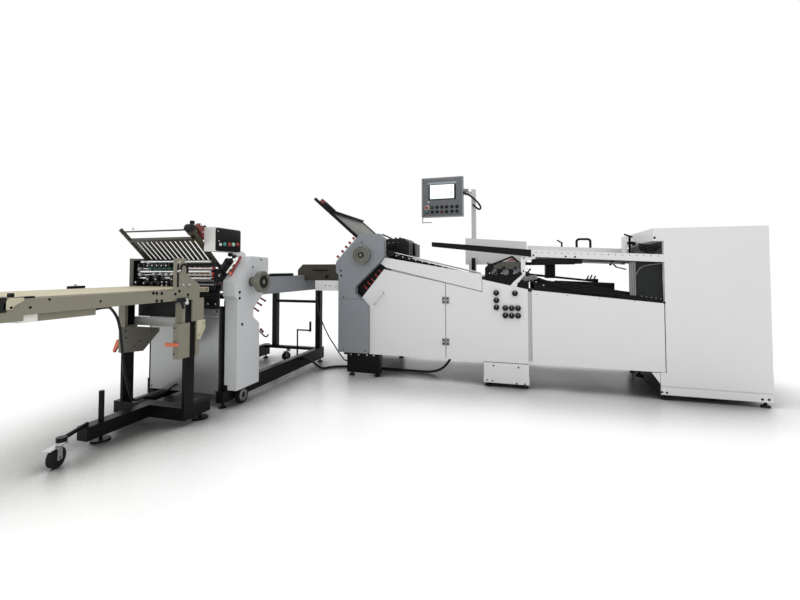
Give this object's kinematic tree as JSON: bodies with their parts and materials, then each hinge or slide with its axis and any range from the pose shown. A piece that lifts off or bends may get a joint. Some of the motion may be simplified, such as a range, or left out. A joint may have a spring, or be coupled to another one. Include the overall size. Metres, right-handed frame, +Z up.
{
  "type": "paper folding machine",
  "caption": "Free-standing combination buckle folding machine with round feeder, register table, fold unit, mobile cross fold unit and delivery conveyor.",
  "frame": {"origin": "middle of the footprint, on the floor", "axes": "+X towards the feeder end, the long way of the machine; +Y away from the operator side; +Z up"},
  "size_m": [4.769, 3.79, 2.137],
  "materials": {
    "panel_white": "fine satin powder coat",
    "frame_grey": "light grey satin paint",
    "unit_grey": "mid grey satin paint",
    "satin_black": "satin black paint",
    "deep_black": "black painted castings",
    "dark_olive": "dark olive grey paint",
    "olive_paint": "olive grey paint",
    "red_paint": "red paint",
    "bright_steel": "ground bright steel",
    "dull_steel": "dull sheet steel",
    "wheel_grey": "cast aluminium",
    "black_plastic": "matt black",
    "red_plastic": "red",
    "orange_plastic": "orange",
    "black_rubber": "matt black rubber",
    "roller_rubber": "red rubber rings on white",
    "belt_cream": "cream coated belt",
    "cable_black": "black cable jacket"
  },
  "bodies": {
    "machine": {"main_frame": "frame_grey", "body_panel_middle": "panel_white", "body_panel_right": "panel_white", "register_cover": "panel_white", "register_table": "dull_steel", "front_foot_box": "satin_black", "rear_foot_box": "satin_black", "centre_foot_box": "panel_white", "feeder_cabinet": "panel_white", "upper_table": "panel_white", "upper_table_arm": "satin_black", "rear_guard_panels": "panel_white", "lower_table": "dark_olive", "suction_head": "deep_black", "unit1_front_cover": "unit_grey", "unit1_rear_cover": "unit_grey", "unit1_side_frames": "satin_black", "unit1_upper_buckle": "dull_steel", "unit1_lower_buckle": "dull_steel", "infeed_head": "black_plastic", "panel_pole": "frame_grey", "unit2_side_cover": "frame_grey", "unit2_side_frames": "satin_black", "unit2_lower_panels": "dull_steel", "unit2_upper_buckle": "dark_olive", "unit2_control_box": "panel_white", "unit2_base_frame": "satin_black", "front_stand": "satin_black", "cross_carrier": "unit_grey", "transfer_bridge": "dark_olive", "dock_box": "panel_white", "dock_cable": "cable_black", "machine_cable": "cable_black", "conveyor_cable": "cable_black"},
    "service_door": {"service_door": "panel_white", "door_handle": "bright_steel"},
    "feeder_drum": {"feeder_drum": "dull_steel"},
    "suction_roller": {"suction_roller": "black_rubber"},
    "unit1_drive": {"unit1_fold_roller_1": "bright_steel", "unit1_handwheel": "wheel_grey"},
    "unit1_roller_2": {"unit1_fold_roller_2": "bright_steel"},
    "unit1_roller_3": {"unit1_fold_roller_3": "bright_steel"},
    "unit1_stop": {"unit1_buckle_stop": "red_paint"},
    "control_panel": {"panel_housing": "unit_grey"},
    "stop_button": {"emergency_stop": "red_plastic"},
    "unit2_drive": {"unit2_fold_roller_1": "roller_rubber", "unit2_handwheel": "wheel_grey"},
    "unit2_roller_2": {"unit2_fold_roller_2": "roller_rubber"},
    "unit2_roller_3": {"unit2_fold_roller_3": "roller_rubber"},
    "unit2_slitter": {"unit2_slitter_shaft": "bright_steel"},
    "transport_axle": {"transport_wheels": "black_rubber"},
    "front_caster": {"caster_fork": "bright_steel"},
    "front_caster_wheel": {"caster_wheel": "black_rubber"},
    "rear_caster": {"rear_caster_fork": "bright_steel"},
    "rear_caster_wheel": {"rear_caster_wheel": "black_rubber"},
    "crank": {"height_crank": "satin_black"},
    "conveyor": {"conveyor_frame": "olive_paint", "conveyor_belt": "belt_cream"},
    "right_clamp": {"stand_clamp_lever": "orange_plastic"},
    "left_clamp": {"left_clamp_lever": "orange_plastic"}
  },
  "joints": [
    {"name": "door_hinge", "type": "hinge", "parent": "machine", "child": "service_door", "pos_m": [-0.1065, 0.8397, 0.5735], "axis": [0, 0, 1], "range_deg": [0, 110]},
    {"name": "drum_turn", "type": "hinge", "parent": "machine", "child": "feeder_drum", "pos_m": [1.9335, 1.345, 0.985], "axis": [0, 1, 0], "continuous": true},
    {"name": "suction_roller_turn", "type": "hinge", "parent": "machine", "child": "suction_roller", "pos_m": [0.6135, 1.345, 0.985], "axis": [0, 1, 0], "continuous": true},
    {"name": "unit1_drive_turn", "type": "hinge", "parent": "machine", "child": "unit1_drive", "pos_m": [-0.9185, 1.345, 1.196], "axis": [0, 1, 0], "continuous": true},
    {"name": "unit1_roller_2_turn", "type": "hinge", "parent": "machine", "child": "unit1_roller_2", "pos_m": [-0.9185, 1.345, 1.2606], "axis": [0, 1, 0], "continuous": true},
    {"name": "unit1_roller_3_turn", "type": "hinge", "parent": "machine", "child": "unit1_roller_3", "pos_m": [-0.8539, 1.345, 1.2606], "axis": [0, 1, 0], "continuous": true},
    {"name": "unit1_stop_slide", "type": "slide", "parent": "machine", "child": "unit1_stop", "axis": [-0.7547, 0, 0.6561], "range_m": [-0.3, 0.02]},
    {"name": "control_panel_swivel", "type": "hinge", "parent": "machine", "child": "control_panel", "pos_m": [-0.0115, 1.845, 1.98], "axis": [0, 0, 1], "range_deg": [-40, 40]},
    {"name": "stop_button_press", "type": "slide", "parent": "control_panel", "child": "stop_button", "axis": [0, 1, 0], "range_m": [0, 0.005], "stiffness_N_per_m": 600, "springref_m": -0.001},
    {"name": "unit2_drive_turn", "type": "hinge", "parent": "machine", "child": "unit2_drive", "pos_m": [-2.0085, -0.13, 0.955], "axis": [1, 0, 0], "continuous": true},
    {"name": "unit2_roller_2_turn", "type": "hinge", "parent": "machine", "child": "unit2_roller_2", "pos_m": [-2.0085, -0.13, 1.0116], "axis": [1, 0, 0], "continuous": true},
    {"name": "unit2_roller_3_turn", "type": "hinge", "parent": "machine", "child": "unit2_roller_3", "pos_m": [-2.0085, -0.1866, 1.0116], "axis": [1, 0, 0], "continuous": true},
    {"name": "unit2_slitter_turn", "type": "hinge", "parent": "machine", "child": "unit2_slitter", "pos_m": [-2.0085, -0.375, 1.01], "axis": [1, 0, 0], "continuous": true},
    {"name": "transport_axle_turn", "type": "hinge", "parent": "machine", "child": "transport_axle", "pos_m": [-1.9965, -0.173, 0.0612], "axis": [1, 0, 0], "continuous": true},
    {"name": "front_caster_swivel", "type": "hinge", "parent": "machine", "child": "front_caster", "pos_m": [-1.8515, -1.335, 0.115], "axis": [0, 0, 1], "continuous": true},
    {"name": "front_caster_roll", "type": "hinge", "parent": "front_caster", "child": "front_caster_wheel", "pos_m": [-1.83885, -1.36977, 0.0532], "axis": [0.9397, 0.342, 0], "continuous": true},
    {"name": "rear_caster_swivel", "type": "hinge", "parent": "machine", "child": "rear_caster", "pos_m": [-2.0265, 1.285, 0.13], "axis": [0, 0, 1], "continuous": true},
    {"name": "rear_caster_roll", "type": "hinge", "parent": "rear_caster", "child": "rear_caster_wheel", "pos_m": [-2.03918, 1.25781, 0.0512], "axis": [0.9063, -0.4226, 0], "continuous": true},
    {"name": "height_crank_turn", "type": "hinge", "parent": "machine", "child": "crank", "pos_m": [-1.9095, 1.285, 0.3], "axis": [0, 0, 1], "continuous": true},
    {"name": "conveyor_lift", "type": "slide", "parent": "machine", "child": "conveyor", "axis": [0, 0, 1], "range_m": [0, 0.12]},
    {"name": "right_clamp_turn", "type": "hinge", "parent": "conveyor", "child": "right_clamp", "pos_m": [-1.6085, -0.8, 0.56], "axis": [0, 1, 0], "range_deg": [-45, 45]},
    {"name": "left_clamp_turn", "type": "hinge", "parent": "conveyor", "child": "left_clamp", "pos_m": [-2.1925, -0.6875, 0.545], "axis": [1, 0, 0], "range_deg": [-45, 45]}
  ],
  "couplings": [
    {"joint": "unit1_roller_2_turn", "follows": "unit1_drive_turn", "ratio": -1},
    {"joint": "unit1_roller_3_turn", "follows": "unit1_drive_turn", "ratio": 1},
    {"joint": "unit2_roller_2_turn", "follows": "unit2_drive_turn", "ratio": -1},
    {"joint": "unit2_roller_3_turn", "follows": "unit2_drive_turn", "ratio": 1},
    {"joint": "unit2_slitter_turn", "follows": "unit2_drive_turn", "ratio": 0.737}
  ]
}
